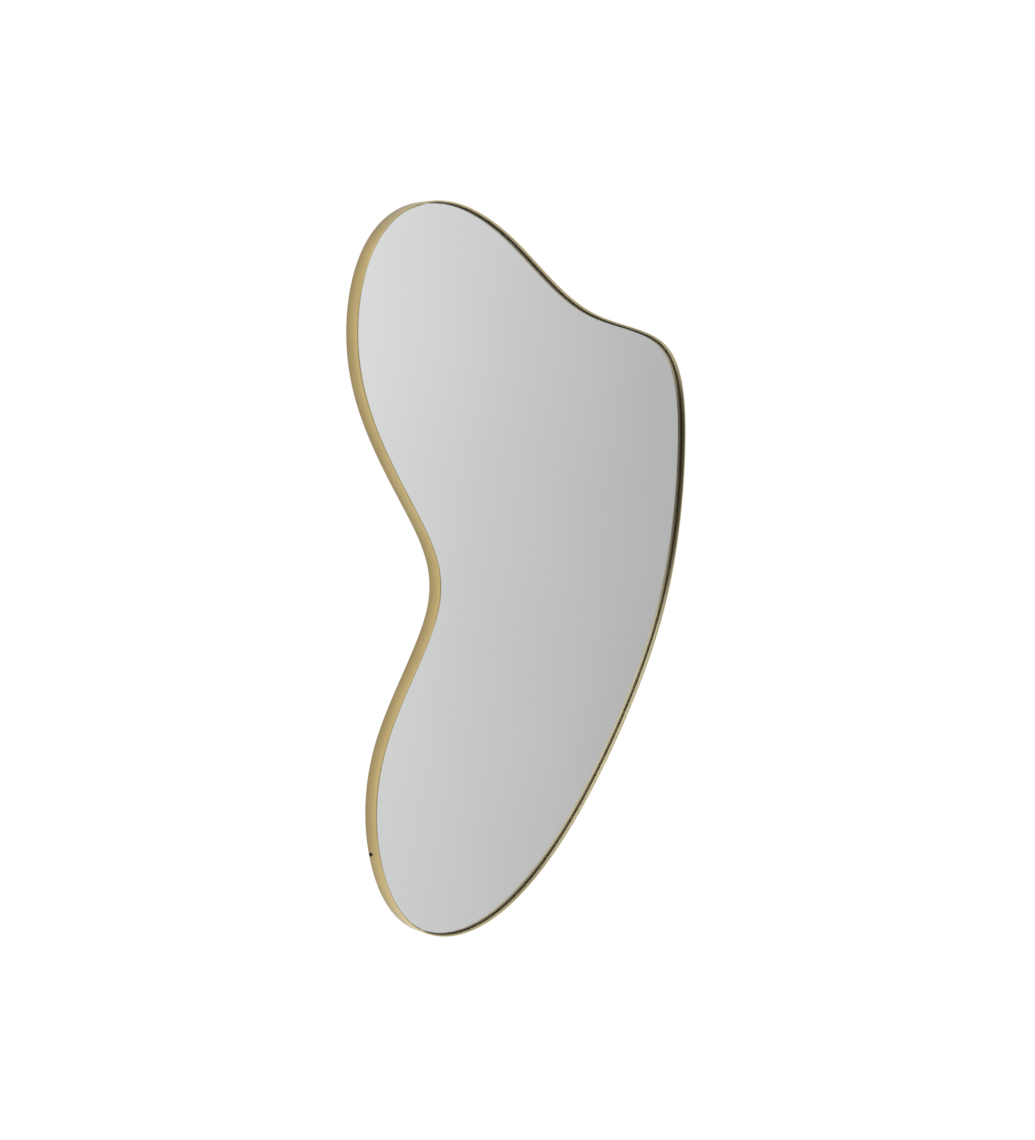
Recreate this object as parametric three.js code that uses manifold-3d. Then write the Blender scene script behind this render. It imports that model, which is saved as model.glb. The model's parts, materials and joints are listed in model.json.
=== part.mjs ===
// Irregular shaped wall mirror: a brass-finished metal band round a free-form silvered glass, which is
// taped to a backing board that hangs from two D-rings. Millimetres, +Z up. The mirror faces -Y and the
// wall is the plane y = 0. The origin lies on the wall, midway between the two wall hooks and straight
// above the middle of the mirror's area, so that it hangs plumb.
import * as THREE from "three";
import { mergeVertices } from "three/addons/utils/BufferGeometryUtils.js";
import Module from "manifold-3d";

// ------------------------------------------------------------------ driving dimensions

// The face, without the heads of the side screws
const OVERALL_WIDTH = 760;
const OVERALL_HEIGHT = 1140;

// The outline's control polygon, drawn round 0, 0 with x to the right and z up, clockwise from the top
// of the left lobe. A uniform cubic B-spline along it is stretched to the overall width and height.
const CONTROL_POLYGON = [
  [-220, 590], // top of the left lobe
  [-55, 535],
  [110, 390], // hollow between the lobe and the shoulder
  [365, 395], // right shoulder
  [390, 190],
  [355, -60], // long right side
  [250, -255],
  [75, -470],
  [-105, -580], // foot
  [-265, -565],
  [-355, -445],
  [-365, -235],
  [-180, -30], // waist
  [-265, 105],
  [-400, 300], // left lobe
  [-365, 515],
];
const STEPS_PER_SPAN = 16;

// Band
const RIM_DEPTH = 25;
const RIM_WALL = 2.5;
const RIM_FRONT_ROUND = 1.2; // radius of both front edges

// Layers inside the band, from the back
const HANGER_WALL_GAP = 0.6; // wall to the hangers, which stand out furthest from the board
const REAR_RECESS = 1; // band's back edge to the board's back
const BOARD_THICKNESS = 12;
const TAPE_THICKNESS = 1;
const GLASS_THICKNESS = 4;
const GLASS_EDGE_GAP = 1; // between the glass and the band
const GLASS_ARRIS = 0.4; // flat ground along the glass's sharp edges
const SEAT_GAP = 0.3; // glue line or contact gap between two pieces that touch

// Foam tape, in level strips
const TAPE_STRIPS = 7;
const TAPE_WIDTH = 25;
const TAPE_END_MARGIN = 25; // board's edge to a strip's end
const TAPE_TOP_MARGIN = 45; // outline's top or foot to the middle of the nearest strip

// Angle clips, welded to the band and screwed to the board
const CLIP_COUNT = 6;
const CLIP_FIRST_SHARE = 0.04; // share of the way round the outline, clockwise from its start
const CLIP_THICKNESS = 1;
const CLIP_WIDTH = 22;
const CLIP_LEG = 9; // along the band's wall
const CLIP_FOOT = 18; // across the board's back
const CLIP_HOLE_INSET = 11; // clip's outer face to its screw

// Pan head screws
const SCREW_SHANK = 3;
const SCREW_POINT = 3;
const SCREW_HEAD = 6;
const SCREW_HEAD_HEIGHT = 1.8;
const SCREW_HEAD_EDGE = 0.5; // straight edge under the dome
const SCREW_RECESS_LENGTH = 3.4;
const SCREW_RECESS_WIDTH = 0.8;
const SCREW_RECESS_DEPTH = 1;
const SCREW_COVER = 2; // board left in front of a back screw's point

// The two screws through the band's side into the board's edge
const SIDE_SCREW_LENGTH = 20;
const SIDE_SCREW_FROM_REAR = 4.5; // band's back edge to the screw's axis
const SIDE_SCREWS = { left: 0.6445, right: 0.2463 }; // shares of the way round

// Strap hangers with D-rings
const HOOK_SPACING = 300;
const HOOK_ABOVE_CENTRE = 260; // hooks above the middle of the overall height
const RING_WIRE = 2.5;
const RING_INNER_WIDTH = 19;
const RING_REACH = 16; // middle of the bar to the middle of the bow
const RING_CORNER = 3; // bend at each end of the bar, to the middle of the wire
const RING_END_GAP = 0.4; // where the wire's ends meet inside the strap's eye
const RING_CLEARANCE = 0.3; // between the bar and the eye
const STRAP_THICKNESS = 1;
const STRAP_WIDTH = 13;
const STRAP_LENGTH = 31; // eye's axis to the strap's lower end
const STRAP_FOLD_GAP = 0.2; // between the two layers
const STRAP_HOLES = { upper: 9.5, lower: 23.5 }; // below the eye's axis

// Rubber bumpers on the board's back
const BUMPER_BASE = 16;
const BUMPER_TOP = 13;
const BUMPER_INSET = 42; // outline to the bumper's middle
const BUMPER_SHARES = [0.93, 0.16, 0.33, 0.6]; // upper left, upper right, lower right, lower left

// Facets
const RIM_ROUND_STEPS = 3;
const HOLE_FACETS = 16;
const SCREW_FACETS = 16;
const SCREW_DOME_STEPS = 4;
const CLIP_STEPS = 4; // along its width
const WIRE_FACETS = 12;
const WIRE_STEPS = 44; // round the whole ring
const EYE_STEPS = { outer: 14, inner: 12 };
const STRAP_END_STEPS = 12;
const BUMPER_FACETS = 32;

const OVERSHOOT = 1; // how far a cutting tool runs past the piece it cuts
const QUARTER_TURN = 0.5523; // handle length of a cubic curve that draws a quarter of a circle

// ------------------------------------------------------------------ planes from wall to front

const EYE_RADIUS = RING_WIRE / 2 + RING_CLEARANCE;
const HANGER_HEIGHT = SEAT_GAP + 2 * (STRAP_THICKNESS + EYE_RADIUS); // above the board's back
const BOARD_REAR = -HANGER_WALL_GAP - HANGER_HEIGHT;
const BAND_REAR = BOARD_REAR + REAR_RECESS;
const BAND_FRONT = BAND_REAR - RIM_DEPTH;
const BOARD_FRONT = BOARD_REAR - BOARD_THICKNESS;
const TAPE_REAR = BOARD_FRONT - SEAT_GAP;
const TAPE_FRONT = TAPE_REAR - TAPE_THICKNESS;
const GLASS_REAR = TAPE_FRONT - SEAT_GAP;

const CLIP_OUTER_INSET = RIM_WALL + SEAT_GAP;
const BOARD_INSET = CLIP_OUTER_INSET + CLIP_THICKNESS + SEAT_GAP;
const GLASS_INSET = RIM_WALL + GLASS_EDGE_GAP;

// ------------------------------------------------------------------ solids

const wasm = await Module();
wasm.setup();

// A closed geometry as a manifold-3d solid.
function toSolid(geometry) {
  const bare = geometry.clone();
  bare.deleteAttribute("normal");
  bare.deleteAttribute("uv");
  const merged = mergeVertices(bare, 1e-4);
  const mesh = new wasm.Mesh({
    numProp: 3,
    vertProperties: merged.attributes.position.array,
    triVerts: new Uint32Array(merged.index.array),
  });
  return new wasm.Manifold(mesh);
}

// A manifold-3d solid as a geometry.
function toGeometry(solid) {
  const mesh = solid.getMesh();
  const geometry = new THREE.BufferGeometry();
  geometry.setAttribute("position", new THREE.BufferAttribute(mesh.vertProperties, 3));
  geometry.setIndex(new THREE.BufferAttribute(mesh.triVerts, 1));
  geometry.computeVertexNormals();
  return geometry;
}

// The first geometry with the tools' volumes taken away.
function cut(geometry, tools) {
  const rest = tools.reduce((body, tool) => body.subtract(toSolid(tool)), toSolid(geometry));
  return toGeometry(rest);
}

// A shape drawn in x and z, as a plate between two planes of y.
function plate(shape, front, rear) {
  const geometry = new THREE.ExtrudeGeometry(shape, { depth: rear - front, bevelEnabled: false });
  geometry.rotateX(Math.PI / 2);
  geometry.translate(0, rear, 0);
  return geometry;
}

// A round bar along Y, the form that a drill leaves.
function drill(x, z, front, rear) {
  const radius = SCREW_SHANK / 2 + SEAT_GAP;
  const geometry = new THREE.CylinderGeometry(radius, radius, rear - front, HOLE_FACETS);
  geometry.translate(x, (front + rear) / 2, z);
  return geometry;
}

// A solid of revolution round the y axis, from pairs of a radius and a y.
function turned(profile, facets) {
  return new THREE.LatheGeometry(profile.map((pair) => new THREE.Vector2(...pair)), facets);
}

// ------------------------------------------------------------------ outline

// The B-spline's point and direction at t, counted in control points.
function spline(t) {
  const count = CONTROL_POLYGON.length;
  const span = Math.floor(t);
  const u = t - span;
  const weights = [
    (1 - u) ** 3 / 6,
    (3 * u ** 3 - 6 * u ** 2 + 4) / 6,
    (-3 * u ** 3 + 3 * u ** 2 + 3 * u + 1) / 6,
    u ** 3 / 6,
  ];
  const slopes = [
    -((1 - u) ** 2) / 2,
    (3 * u ** 2 - 4 * u) / 2,
    (-3 * u ** 2 + 2 * u + 1) / 2,
    u ** 2 / 2,
  ];
  const point = new THREE.Vector2();
  const direction = new THREE.Vector2();
  weights.forEach((weight, k) => {
    const control = new THREE.Vector2(...CONTROL_POLYGON[(span + k - 1 + 2 * count) % count]);
    point.addScaledVector(control, weight);
    direction.addScaledVector(control, slopes[k]);
  });
  return { point, direction };
}

const SAMPLES = CONTROL_POLYGON.length * STEPS_PER_SPAN;
const drawn = Array.from({ length: SAMPLES }, (_, i) => spline(i / STEPS_PER_SPAN).point);
const drawnBox = new THREE.Box2().setFromPoints(drawn);
const drawnCentre = drawnBox.getCenter(new THREE.Vector2());
const stretch = new THREE.Vector2(OVERALL_WIDTH, OVERALL_HEIGHT).divide(
  drawnBox.getSize(new THREE.Vector2()),
);
const stretched = drawn.map((point) => point.clone().sub(drawnCentre).multiply(stretch));

// The x of the middle of a closed polygon's area.
function middleOfArea(points) {
  let moment = 0;
  points.forEach((a, i) => {
    const b = points[(i + 1) % points.length];
    moment += (a.x + b.x) * a.cross(b);
  });
  return moment / (6 * THREE.ShapeUtils.area(points));
}

const hangPoint = new THREE.Vector2(middleOfArea(stretched), HOOK_ABOVE_CENTRE);

// Distances along the outline to each of its samples, and on to the start again
const reached = [0];
stretched.forEach((point, i) => {
  reached.push(reached[i] + point.distanceTo(stretched[(i + 1) % SAMPLES]));
});
const PERIMETER = reached[SAMPLES];

// The spline's t at a share of the way round the outline.
function parameterAt(share) {
  const distance = THREE.MathUtils.euclideanModulo(share, 1) * PERIMETER;
  const next = reached.findIndex((length) => length > distance);
  const along = (distance - reached[next - 1]) / (reached[next] - reached[next - 1]);
  return (next - 1 + along) / STEPS_PER_SPAN;
}

// The outline's outward normal at t.
function outwardAt(t) {
  const along = spline(t).direction.multiply(stretch).normalize();
  return new THREE.Vector2(-along.y, along.x);
}

// The point that lies a distance inside the outline at t, in the part's x and z.
function insetPoint(t, inset) {
  const point = spline(t).point.sub(drawnCentre).multiply(stretch).sub(hangPoint);
  return point.addScaledVector(outwardAt(t), -inset);
}

// All samples of the outline, a distance inside it.
function insetLoop(inset) {
  return Array.from({ length: SAMPLES }, (_, i) => insetPoint(i / STEPS_PER_SPAN, inset));
}

// A section, drawn as inset and y, carried all round the outline.
function sweep(section) {
  const loops = section.map(({ x }) => insetLoop(x));
  const positions = [];
  const triangles = [];
  for (let i = 0; i < SAMPLES; i++) {
    const start = i * section.length;
    const following = ((i + 1) % SAMPLES) * section.length;
    section.forEach(({ y }, k) => {
      const next = (k + 1) % section.length;
      positions.push(loops[k][i].x, y, loops[k][i].y);
      triangles.push(start + k, start + next, following + next);
      triangles.push(start + k, following + next, following + k);
    });
  }
  const geometry = new THREE.BufferGeometry();
  geometry.setAttribute("position", new THREE.Float32BufferAttribute(positions, 3));
  geometry.setIndex(triangles);
  return geometry;
}

// Points of an arc from one angle to another.
function arc(centreX, radius, from, to, steps) {
  return Array.from({ length: steps + 1 }, (_, i) => {
    const angle = from + ((to - from) * i) / steps;
    return new THREE.Vector2(centreX + radius * Math.cos(angle), radius * Math.sin(angle));
  });
}

// The least and the greatest x of a closed loop at height z.
function chord(loop, z) {
  const crossings = [];
  loop.forEach((a, i) => {
    const b = loop[(i + 1) % loop.length];
    if (a.y > z !== b.y > z) {
      crossings.push(a.x + ((b.x - a.x) * (z - a.y)) / (b.y - a.y));
    }
  });
  return [Math.min(...crossings), Math.max(...crossings)];
}

// A strip that follows the outline for a short way, between two insets.
function ribbon(share, width, outerInset, innerInset) {
  const half = width / 2 / PERIMETER;
  const shares = Array.from(
    { length: CLIP_STEPS + 1 },
    (_, i) => share + half * ((2 * i) / CLIP_STEPS - 1),
  );
  const outer = shares.map((at) => insetPoint(parameterAt(at), outerInset));
  const inner = shares.map((at) => insetPoint(parameterAt(at), innerInset));
  return new THREE.Shape([...outer, ...inner.reverse()]);
}

// ------------------------------------------------------------------ finishes

const finish = (color, roughness, metalness) =>
  new THREE.MeshStandardMaterial({ color, roughness, metalness });
const BRASS = finish(0xbea86c, 0.35, 1);
const MIRROR = finish(0xc9cbcb, 0.03, 1);
const FIBREBOARD = finish(0x8d7455, 0.85, 0);
const FOAM = finish(0xe6e4dd, 0.9, 0);
const ZINC = finish(0xa9abad, 0.35, 1);
const DARK_BRONZE = finish(0x3d3a20, 0.5, 1);
const RUBBER = finish(0x2b2b2c, 0.8, 0);

const mirror = new THREE.Group();

function add(parent, name, geometry, material) {
  const mesh = new THREE.Mesh(geometry, material);
  mesh.name = name;
  parent.add(mesh);
  return mesh;
}

// ------------------------------------------------------------------ screws

// A pan head screw along Y: its head's flat underside is at y = 0 and its shank points to -Y.
function screw(length) {
  const radius = SCREW_HEAD / 2;
  const dome = SCREW_HEAD_HEIGHT - SCREW_HEAD_EDGE;
  const profile = [
    [0, -length],
    [SCREW_SHANK / 2, SCREW_POINT - length],
    [SCREW_SHANK / 2, 0],
    [radius, 0],
  ];
  for (let i = 0; i < SCREW_DOME_STEPS; i++) {
    const angle = ((Math.PI / 2) * i) / SCREW_DOME_STEPS;
    profile.push([radius * Math.cos(angle), SCREW_HEAD_EDGE + dome * Math.sin(angle)]);
  }
  profile.push([0, SCREW_HEAD_HEIGHT]);
  const body = turned(profile, SCREW_FACETS);
  const slots = [0, 1].map((turn) => {
    const depth = 2 * SCREW_RECESS_DEPTH; // half of it above the head
    const slot = new THREE.BoxGeometry(SCREW_RECESS_LENGTH, depth, SCREW_RECESS_WIDTH);
    slot.rotateY((turn * Math.PI) / 2);
    slot.translate(0, SCREW_HEAD_HEIGHT, 0);
    return slot;
  });
  return cut(body, slots);
}

// A screw from the back, through something whose rear face is at the plane y = seat.
function addBackScrew(name, x, z, seat) {
  const underHead = seat + SEAT_GAP;
  const mesh = add(mirror, name, screw(underHead - BOARD_FRONT - SCREW_COVER), ZINC);
  mesh.position.set(x, underHead, z);
}

const boardHoles = [];
const rimHoles = [];

// The hole for a back screw, in the board.
function drillBoard(x, z) {
  boardHoles.push(drill(x, z, BOARD_FRONT + SCREW_COVER - SEAT_GAP, BOARD_REAR + OVERSHOOT));
}

// A screw through the band's side, its head outside.
function addSideScrew(name, share) {
  const t = parameterAt(share);
  const outward = outwardAt(t);
  const axis = new THREE.Vector3(outward.x, 0, outward.y);
  const seat = insetPoint(t, -SEAT_GAP); // under the head
  const turn = new THREE.Quaternion().setFromUnitVectors(new THREE.Vector3(0, 1, 0), axis);
  const height = BAND_REAR - SIDE_SCREW_FROM_REAR;
  const mesh = add(mirror, name, screw(SIDE_SCREW_LENGTH), DARK_BRONZE);
  mesh.quaternion.copy(turn);
  mesh.position.set(seat.x, height, seat.y);
  const hole = drill(0, 0, -SIDE_SCREW_LENGTH - SEAT_GAP, SCREW_HEAD_HEIGHT);
  hole.applyQuaternion(turn);
  hole.translate(seat.x, height, seat.y);
  boardHoles.push(hole);
  rimHoles.push(hole);
}

for (const [side, share] of Object.entries(SIDE_SCREWS)) {
  addSideScrew(`rim_screw_${side}`, share);
}

// ------------------------------------------------------------------ clips

const CLIP_FRONT = BOARD_REAR + SEAT_GAP;
const CLIP_REAR = CLIP_FRONT + CLIP_THICKNESS;

// An angle clip: a leg along the band's wall and a foot on the board's back.
function clip(share, hole) {
  const legInset = CLIP_OUTER_INSET + CLIP_THICKNESS;
  const footInset = CLIP_OUTER_INSET + CLIP_FOOT;
  const legPlan = ribbon(share, CLIP_WIDTH, CLIP_OUTER_INSET, legInset);
  const footPlan = ribbon(share, CLIP_WIDTH, CLIP_OUTER_INSET, footInset);
  const leg = plate(legPlan, CLIP_REAR - CLIP_LEG, CLIP_REAR);
  const foot = plate(footPlan, CLIP_FRONT, CLIP_REAR);
  const angle = toGeometry(toSolid(leg).add(toSolid(foot)));
  return cut(angle, [drill(hole.x, hole.y, CLIP_FRONT - OVERSHOOT, CLIP_REAR + OVERSHOOT)]);
}

for (let i = 0; i < CLIP_COUNT; i++) {
  const share = CLIP_FIRST_SHARE + i / CLIP_COUNT;
  const hole = insetPoint(parameterAt(share), CLIP_OUTER_INSET + CLIP_HOLE_INSET);
  add(mirror, `rim_clip_${i + 1}`, clip(share, hole), ZINC);
  addBackScrew(`rim_clip_screw_${i + 1}`, hole.x, hole.y, CLIP_REAR);
  drillBoard(hole.x, hole.y);
}

// ------------------------------------------------------------------ hangers

const EYE_HEIGHT = SEAT_GAP + STRAP_THICKNESS + EYE_RADIUS; // eye's axis above the board's back
const RING_LEAN = Math.asin((EYE_HEIGHT - RING_WIRE / 2 - SEAT_GAP) / RING_REACH);
const EYE_BELOW_HOOK = (RING_REACH - RING_WIRE / 2) * Math.cos(RING_LEAN);
const STRAP_REAR = SEAT_GAP + 2 * STRAP_THICKNESS + STRAP_FOLD_GAP; // above the board's back

// A steel strap folded round the ring's bar: its side view, drawn as height above the board and z from
// the eye's axis, is given its width and then cut to a plan with a round lower end.
function strap() {
  const outerRadius = EYE_RADIUS + STRAP_THICKNESS;
  const backLayer = SEAT_GAP + STRAP_THICKNESS;
  const frontLayer = backLayer + STRAP_FOLD_GAP;
  const outerEnd = -Math.acos((STRAP_REAR - EYE_HEIGHT) / outerRadius);
  const innerEnd = -Math.acos((frontLayer - EYE_HEIGHT) / EYE_RADIUS);
  const side = new THREE.Shape([
    new THREE.Vector2(SEAT_GAP, -STRAP_LENGTH),
    ...arc(EYE_HEIGHT, outerRadius, Math.PI, outerEnd, EYE_STEPS.outer),
    new THREE.Vector2(STRAP_REAR, -STRAP_LENGTH),
    new THREE.Vector2(frontLayer, -STRAP_LENGTH),
    ...arc(EYE_HEIGHT, EYE_RADIUS, innerEnd, Math.PI, EYE_STEPS.inner),
    new THREE.Vector2(backLayer, -STRAP_LENGTH),
  ]);
  const folded = new THREE.ExtrudeGeometry(side, { depth: STRAP_WIDTH, bevelEnabled: false });
  folded.applyMatrix4(
    new THREE.Matrix4().makeBasis(
      new THREE.Vector3(0, 1, 0),
      new THREE.Vector3(0, 0, 1),
      new THREE.Vector3(1, 0, 0),
    ),
  );
  folded.translate(-STRAP_WIDTH / 2, 0, 0);
  const half = STRAP_WIDTH / 2;
  const top = outerRadius + OVERSHOOT;
  const rear = EYE_HEIGHT + outerRadius + OVERSHOOT;
  const plan = new THREE.Shape([
    new THREE.Vector2(half, top),
    new THREE.Vector2(-half, top),
    ...arc(0, half, Math.PI, 2 * Math.PI, STRAP_END_STEPS).map(({ x, y }) => {
      return new THREE.Vector2(x, y + half - STRAP_LENGTH);
    }),
  ]);
  const outline = plate(plan, -OVERSHOOT, rear);
  const trimmed = toGeometry(toSolid(folded).intersect(toSolid(outline)));
  return cut(trimmed, Object.values(STRAP_HOLES).map((below) => drill(0, -below, -OVERSHOOT, rear)));
}

// A quarter turn of the wire's middle line, from one point to another, rounding a corner point.
function bend(from, corner, to) {
  const out = from.clone().lerp(corner, QUARTER_TURN);
  const back = to.clone().lerp(corner, QUARTER_TURN);
  return new THREE.CubicBezierCurve3(from, out, back, to);
}

// The D-ring: wire bent from the middle of its bar round the bow and back, bar on the x axis, bow up.
function ring() {
  const half = (RING_INNER_WIDTH + RING_WIRE) / 2;
  const at = (x, z) => new THREE.Vector3(x, 0, z);
  const shoulder = RING_REACH - half;
  const end = RING_END_GAP / 2;
  const route = new THREE.CurvePath();
  route.add(new THREE.LineCurve3(at(end, 0), at(half - RING_CORNER, 0)));
  route.add(bend(at(half - RING_CORNER, 0), at(half, 0), at(half, RING_CORNER)));
  route.add(new THREE.LineCurve3(at(half, RING_CORNER), at(half, shoulder)));
  route.add(bend(at(half, shoulder), at(half, RING_REACH), at(0, RING_REACH)));
  route.add(bend(at(0, RING_REACH), at(-half, RING_REACH), at(-half, shoulder)));
  route.add(new THREE.LineCurve3(at(-half, shoulder), at(-half, RING_CORNER)));
  route.add(bend(at(-half, RING_CORNER), at(-half, 0), at(RING_CORNER - half, 0)));
  route.add(new THREE.LineCurve3(at(RING_CORNER - half, 0), at(-end, 0)));
  const section = new THREE.Shape(arc(0, RING_WIRE / 2, 0, 2 * Math.PI, WIRE_FACETS).slice(0, -1));
  return new THREE.ExtrudeGeometry(section, { steps: WIRE_STEPS, extrudePath: route });
}

for (const [side, sign] of Object.entries({ left: -1, right: 1 })) {
  const hanger = new THREE.Group();
  hanger.position.set((sign * HOOK_SPACING) / 2, BOARD_REAR, -EYE_BELOW_HOOK);
  mirror.add(hanger);
  add(hanger, `hanger_strap_${side}`, strap(), ZINC);
  const swinging = add(hanger, `hanger_ring_${side}`, ring(), ZINC);
  swinging.position.y = EYE_HEIGHT;
  swinging.rotation.x = RING_LEAN;
  for (const [place, below] of Object.entries(STRAP_HOLES)) {
    const z = hanger.position.z - below;
    addBackScrew(`hanger_screw_${side}_${place}`, hanger.position.x, z, BOARD_REAR + STRAP_REAR);
    drillBoard(hanger.position.x, z);
  }
}

// ------------------------------------------------------------------ bumpers

// A rubber bumper: a low round cone with flat ends, from the board's back to the wall.
function bumper() {
  const height = -BOARD_REAR - SEAT_GAP;
  const profile = [
    [0, 0],
    [BUMPER_BASE / 2, 0],
    [BUMPER_TOP / 2, height],
    [0, height],
  ];
  return turned(profile, BUMPER_FACETS);
}

BUMPER_SHARES.forEach((share, i) => {
  const place = insetPoint(parameterAt(share), BUMPER_INSET);
  const mesh = add(mirror, `wall_bumper_${i + 1}`, bumper(), RUBBER);
  mesh.position.set(place.x, BOARD_REAR + SEAT_GAP, place.y);
});

// ------------------------------------------------------------------ band, glass, tape and board

// One of the band's rounded front edges, from one angle to a quarter turn further.
function frontEdge(inset, from) {
  const edge = arc(inset, RIM_FRONT_ROUND, from, from + Math.PI / 2, RIM_ROUND_STEPS);
  return edge.map(({ x, y }) => new THREE.Vector2(x, BAND_FRONT + RIM_FRONT_ROUND + y));
}

const rimSection = [
  new THREE.Vector2(0, BAND_REAR),
  ...frontEdge(RIM_FRONT_ROUND, Math.PI),
  ...frontEdge(RIM_WALL - RIM_FRONT_ROUND, 1.5 * Math.PI),
  new THREE.Vector2(RIM_WALL, BAND_REAR),
];
add(mirror, "rim_band", cut(sweep(rimSection), rimHoles), BRASS);

const board = plate(new THREE.Shape(insetLoop(BOARD_INSET)), BOARD_FRONT, BOARD_REAR);
add(mirror, "backing_board", cut(board, boardHoles), FIBREBOARD);

// The glass sheet, with a small flat ground along both of its edges.
function glass() {
  const geometry = new THREE.ExtrudeGeometry(new THREE.Shape(insetLoop(GLASS_INSET)), {
    depth: GLASS_THICKNESS - 2 * GLASS_ARRIS,
    bevelThickness: GLASS_ARRIS,
    bevelSize: GLASS_ARRIS,
    bevelOffset: -GLASS_ARRIS,
    bevelSegments: 1,
  });
  geometry.rotateX(Math.PI / 2);
  geometry.translate(0, GLASS_REAR - GLASS_ARRIS, 0);
  return geometry;
}

add(mirror, "mirror_glass", glass(), MIRROR);

const tapeLoop = insetLoop(BOARD_INSET + TAPE_END_MARGIN);
const tapeTop = OVERALL_HEIGHT / 2 - HOOK_ABOVE_CENTRE - TAPE_TOP_MARGIN;
const tapePitch = (OVERALL_HEIGHT - 2 * TAPE_TOP_MARGIN) / (TAPE_STRIPS - 1);
for (let i = 0; i < TAPE_STRIPS; i++) {
  const z = tapeTop - i * tapePitch;
  const above = chord(tapeLoop, z + TAPE_WIDTH / 2);
  const below = chord(tapeLoop, z - TAPE_WIDTH / 2);
  const left = Math.max(above[0], below[0]);
  const right = Math.min(above[1], below[1]);
  const strip = new THREE.BoxGeometry(right - left, TAPE_THICKNESS, TAPE_WIDTH);
  const mesh = add(mirror, `tape_strip_${i + 1}`, strip, FOAM);
  mesh.position.set((left + right) / 2, (TAPE_FRONT + TAPE_REAR) / 2, z);
}

export default mirror;
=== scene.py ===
"""Looks of an irregular shaped wall mirror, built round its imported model.

Metres, +Z up. The mirror faces -Y, the wall is the plane y = 0, and the origin lies on the wall
midway between the two wall hooks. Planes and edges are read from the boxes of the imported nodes, and
the finer sizes repeat those of the part.
"""

from __future__ import annotations

import json
import logging
import math
from dataclasses import dataclass, field
from enum import Enum
from typing import Any, Iterable, Mapping, Sequence

import bpy
import numpy as np
from bpy.types import Material, Node, NodeSocket, NodeTree, Object
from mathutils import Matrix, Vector

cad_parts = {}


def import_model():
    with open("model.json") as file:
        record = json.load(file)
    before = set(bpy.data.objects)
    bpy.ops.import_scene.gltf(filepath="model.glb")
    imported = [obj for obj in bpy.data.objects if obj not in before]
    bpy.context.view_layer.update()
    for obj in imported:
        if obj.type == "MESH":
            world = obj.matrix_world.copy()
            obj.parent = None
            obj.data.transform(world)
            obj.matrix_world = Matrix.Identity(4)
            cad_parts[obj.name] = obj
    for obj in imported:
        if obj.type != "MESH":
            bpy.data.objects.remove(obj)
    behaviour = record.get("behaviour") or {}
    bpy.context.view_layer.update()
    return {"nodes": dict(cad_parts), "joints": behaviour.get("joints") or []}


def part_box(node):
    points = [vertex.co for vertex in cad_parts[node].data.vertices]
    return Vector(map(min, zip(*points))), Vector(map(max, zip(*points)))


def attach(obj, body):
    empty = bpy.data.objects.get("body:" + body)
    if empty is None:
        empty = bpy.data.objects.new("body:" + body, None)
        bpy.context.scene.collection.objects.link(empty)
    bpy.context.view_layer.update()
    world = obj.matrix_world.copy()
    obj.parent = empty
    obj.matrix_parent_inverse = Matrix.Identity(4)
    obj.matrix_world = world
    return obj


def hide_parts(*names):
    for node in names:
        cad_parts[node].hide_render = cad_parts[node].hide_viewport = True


LOG = logging.getLogger("mirror")
MM = 0.001
BAND_UV = "along_band"
NOISE_SPAN = {"From Min": 0.3, "From Max": 0.7}  # where most values of a noise texture lie

Colour = tuple[float, float, float, float]
Pair = tuple[float, float]
Triple = tuple[float, float, float]


class Body(Enum):
    """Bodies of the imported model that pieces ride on."""

    MIRROR = "mirror"
    RING_LEFT = "ring_left"
    RING_RIGHT = "ring_right"


class Slot(Enum):
    """Material slots of the record, named with the new pieces; nothing fills them."""

    BRASS = "band_brass"
    GLASS = "mirror_glass"
    DARK_SCREW = "dark_bronze"
    ZINC = "zinc_steel"
    RUBBER = "bumper_rubber"


class Side(Enum):
    """The two sides of the mirror, seen from the front."""

    LEFT = "left"
    RIGHT = "right"


# --- nodes ---


def linear(code: str) -> Colour:
    """Turns an sRGB colour into linear light.

    Args:
        code: the colour as "#RRGGBB".

    Returns:
        Red, green, blue and an alpha of 1.
    """
    shares = [int(code[i : i + 2], 16) / 255 for i in (1, 3, 5)]
    light = [s / 12.92 if s <= 0.04045 else ((s + 0.055) / 1.055) ** 2.4 for s in shares]
    return (light[0], light[1], light[2], 1.0)


def grey(level: float) -> Colour:
    """A grey of that linear level."""
    return (level, level, level, 1.0)


def per_mm(size_mm: float) -> float:
    """The scale of a pattern whose features measure that many millimetres."""
    return 1 / (size_mm * MM)


def in_use(sockets: Iterable[NodeSocket], name: str = "") -> NodeSocket:
    """The first socket that a node's settings leave in use, or the first one of that name."""
    return next(socket for socket in sockets if socket.enabled and name in ("", socket.name))


def add_node(
    tree: NodeTree,
    kind: str,
    inputs: Mapping[str | int, Any] | None = None,
    stops: Sequence[tuple[float, Colour]] = (),
    **settings: Any,
) -> Node:
    """Adds a node with its settings, values and links.

    Args:
        tree: the node tree that gets it.
        kind: the node's type name, after "ShaderNode".
        inputs: a value, an output socket, or a node whose first output is meant, for each input.
        stops: positions and colours, for a colour ramp.
        settings: the node's own properties.

    Returns:
        The new node.
    """
    node = tree.nodes.new(f"ShaderNode{kind}")
    for name, value in settings.items():
        setattr(node, name, value)
    for key, value in (inputs or {}).items():
        socket = node.inputs[key] if isinstance(key, int) else in_use(node.inputs, key)
        if isinstance(value, Node):
            value = in_use(value.outputs)
        if isinstance(value, NodeSocket):
            tree.links.new(value, socket)
        else:
            socket.default_value = value
    for i, (position, colour) in enumerate(stops):
        elements = node.color_ramp.elements
        element = elements[i] if i < 2 else elements.new(position)
        element.position = position
        element.color = colour
    return node


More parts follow.
